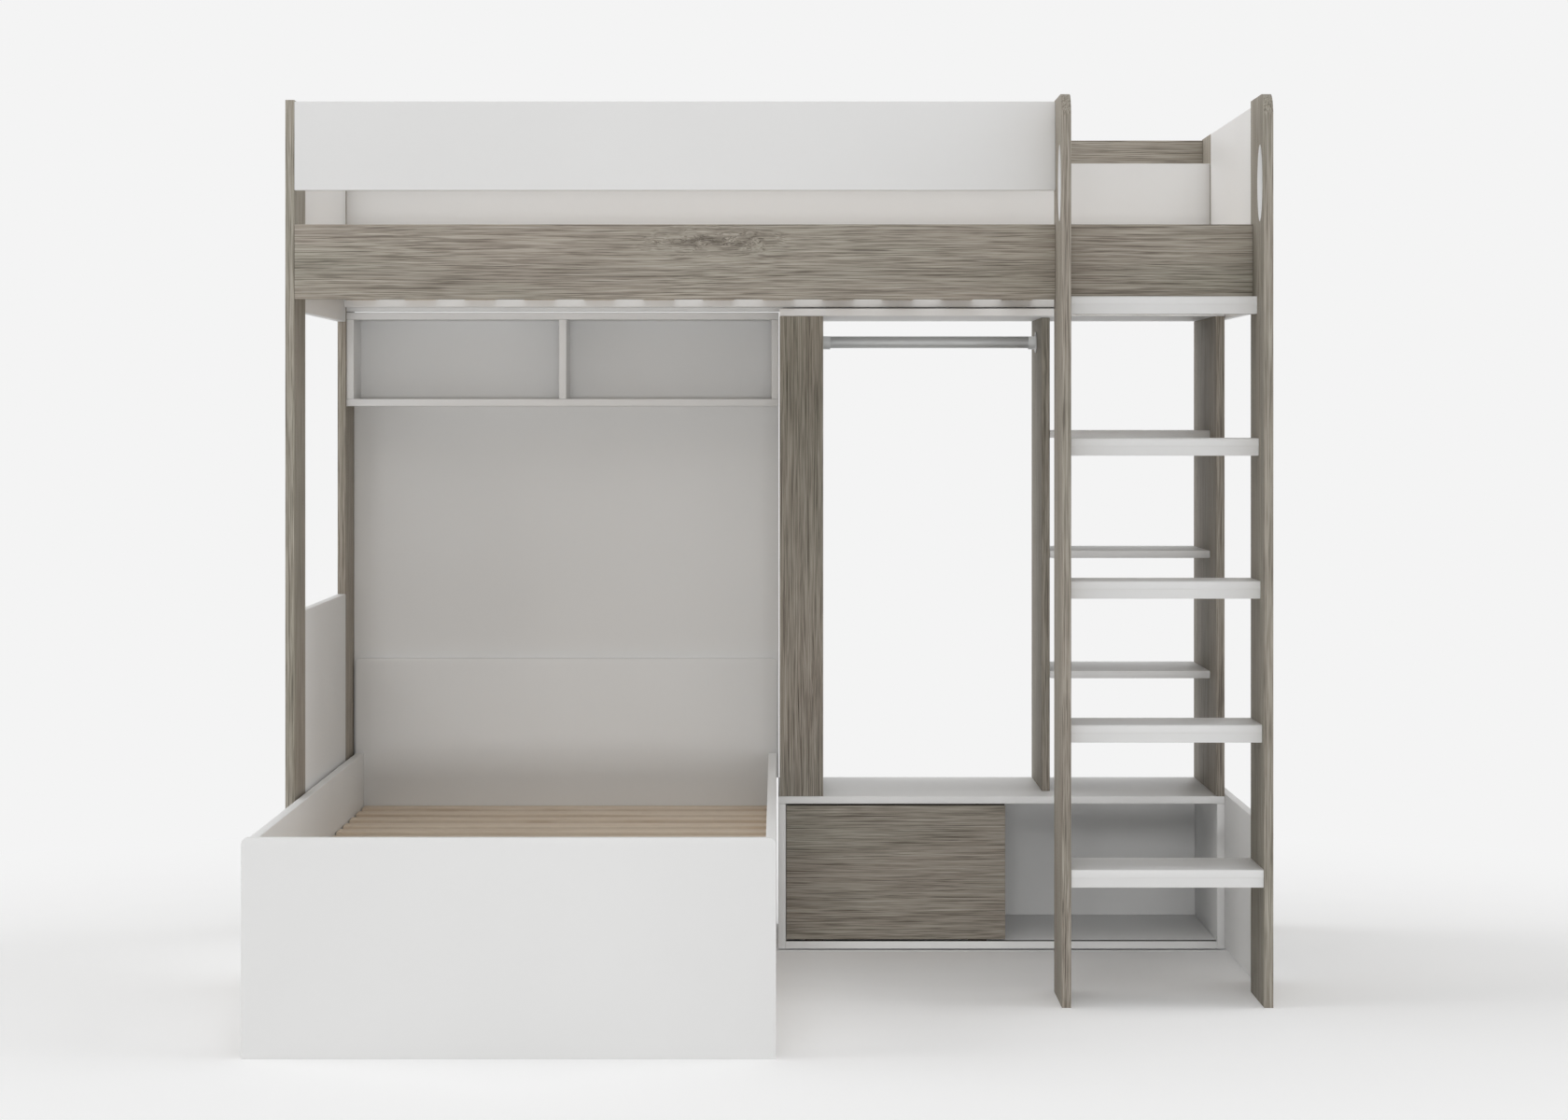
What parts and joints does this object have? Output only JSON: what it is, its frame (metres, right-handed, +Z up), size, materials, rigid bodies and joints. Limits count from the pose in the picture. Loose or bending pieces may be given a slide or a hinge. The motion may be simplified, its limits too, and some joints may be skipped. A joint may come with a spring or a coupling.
{
  "type": "l-shaped bunk bed",
  "caption": "L-shaped bunk bed: high bed on board posts, low bed across under one half, wardrobe, shelves, bench with sliding door and ladder under the other.",
  "frame": {"origin": "on the floor, under the middle of the whole bed", "axes": "+X to the ladder end, +Y to the wall behind the high bed, +Z up"},
  "size_m": [1.952, 1.9702, 1.771],
  "materials": {
    "oak_foil": "matt grey-brown oak foil on chipboard",
    "white_board": "matt white melamine on chipboard",
    "slat_wood": "bare planed pine",
    "rod_steel": "satin steel",
    "dark_plastic": "dark brown plastic"
  },
  "bodies": {
    "bunk": {"front_left_post": "oak_foil", "rear_left_post": "oak_foil", "front_right_post": "oak_foil", "rear_right_post": "oak_foil", "left_end_panel": "white_board", "right_end_panel": "white_board", "left_side_panel": "white_board", "right_side_panel": "white_board", "ladder_post_left": "oak_foil", "ladder_post_right": "oak_foil", "tread_1": "white_board", "tread_2": "white_board", "tread_3": "white_board", "tread_4": "white_board", "tread_5": "white_board", "front_rail": "oak_foil", "entrance_rail": "oak_foil", "guard_board": "white_board", "rear_top_rail": "oak_foil", "rear_lower_rail": "oak_foil", "rear_ledge": "white_board", "rear_panel": "white_board", "upper_slat_base": "slat_wood", "footboard": "white_board", "headboard": "white_board", "lower_left_rail": "white_board", "lower_right_rail": "white_board", "lower_slat_base": "slat_wood", "wall_panel": "white_board", "cubby_top": "white_board", "cubby_bottom": "white_board", "cubby_left_side": "white_board", "cubby_right_side": "white_board", "cubby_divider": "white_board", "bench_left_side": "white_board", "bench_right_side": "white_board", "bench_back": "white_board", "bench_top": "white_board", "bench_base": "white_board", "bottom_track": "dark_plastic", "bench_foot_front_left": "dark_plastic", "bench_foot_front_right": "dark_plastic", "bench_foot_rear_left": "dark_plastic", "bench_foot_rear_right": "dark_plastic", "wardrobe_stile": "oak_foil", "wardrobe_side": "white_board", "wardrobe_divider": "oak_foil", "shelf_upright": "oak_foil", "wardrobe_top": "white_board", "shelf_1": "white_board", "shelf_2": "white_board", "shelf_3": "white_board", "clothes_rod": "rod_steel", "rod_socket_left": "rod_steel", "rod_socket_right": "rod_steel"},
    "door": {"bench_door": "oak_foil", "door_glide_left": "dark_plastic", "door_glide_right": "dark_plastic", "door_pin_left": "dark_plastic", "door_pin_right": "dark_plastic"}
  },
  "joints": [
    {"name": "door_slide", "type": "slide", "parent": "bunk", "child": "door", "axis": [1, 0, 0], "range_m": [0, 0.453]}
  ]
}
